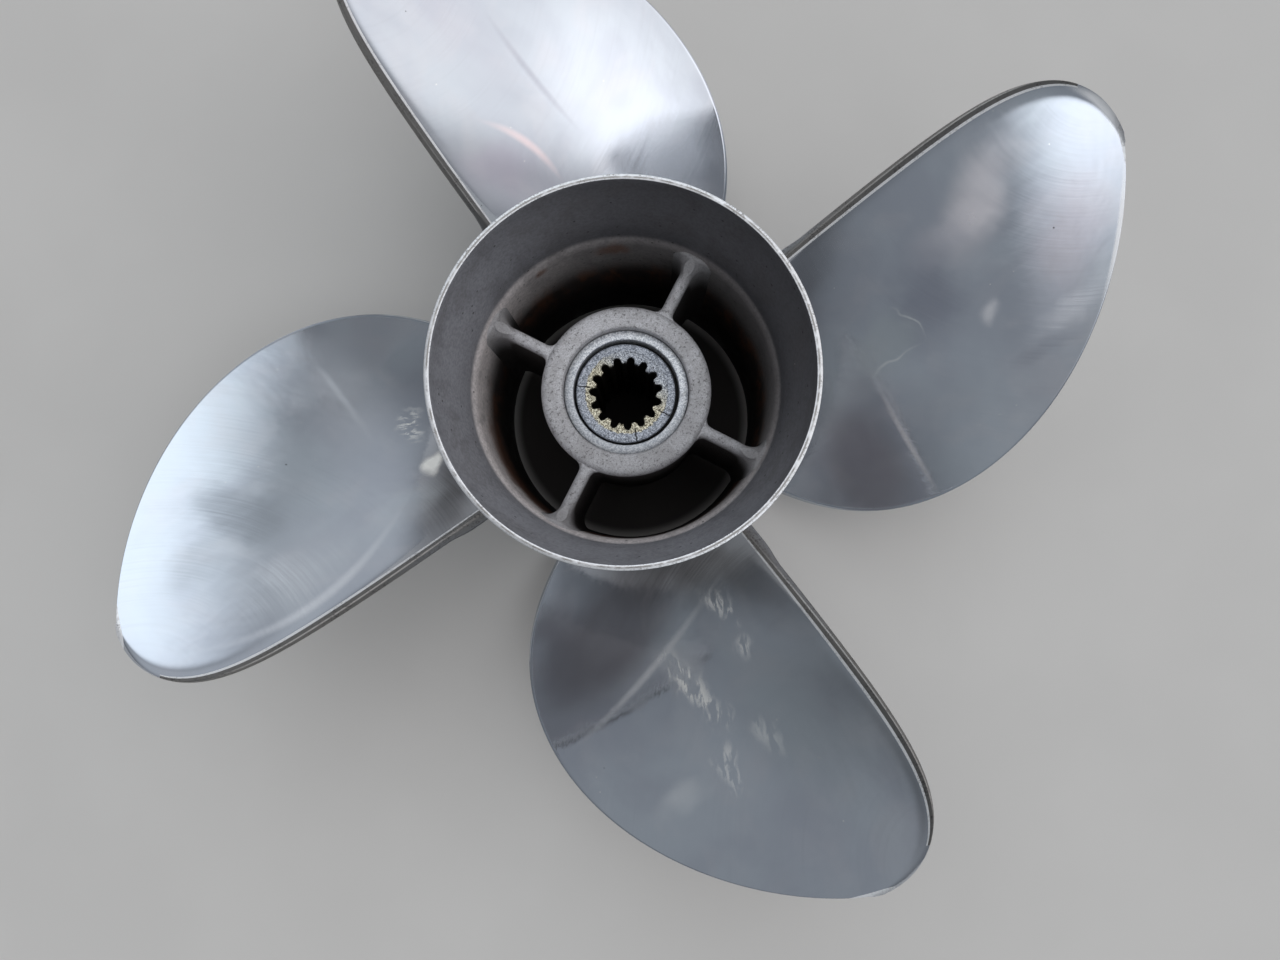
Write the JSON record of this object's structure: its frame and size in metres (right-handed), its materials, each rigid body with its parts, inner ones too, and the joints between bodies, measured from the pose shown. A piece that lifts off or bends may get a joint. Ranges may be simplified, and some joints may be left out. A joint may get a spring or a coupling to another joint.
{
  "type": "outboard propeller",
  "caption": "Right-hand bladed propeller with a flared through-hub exhaust barrel, ribs and a splined rubber bushing.",
  "frame": {"origin": "on the shaft axis, in the plane of the hub's forward end, which the propeller stands on", "axes": "+Z along the shaft axis towards the open aft end; +X and +Y lie midway between the exhaust ribs"},
  "size_m": [0.3582, 0.3582, 0.133],
  "materials": {
    "cast_steel": "sand-cast stainless steel, light grey with dark pits",
    "diffuser_steel": "cast stainless steel darkened by exhaust soot, with a bare worn rim edge",
    "blade_steel": "satin polished stainless steel with fine arc-shaped buffing marks",
    "bushing_steel": "machined steel, dulled",
    "rubber": "aged black rubber",
    "worn_brass": "grey oxidised brass with bright worn teeth"
  },
  "bodies": {
    "root": {"outer_barrel": "cast_steel", "diffuser_ring": "diffuser_steel", "inner_barrel": "cast_steel", "rib_1": "cast_steel", "rib_2": "cast_steel", "rib_3": "cast_steel", "rib_4": "cast_steel", "blade_1": "blade_steel", "blade_2": "blade_steel", "blade_3": "blade_steel", "blade_4": "blade_steel", "bushing_shell": "bushing_steel", "bushing_rubber": "rubber", "spline_sleeve": "worn_brass"}
  },
  "joints": []
}
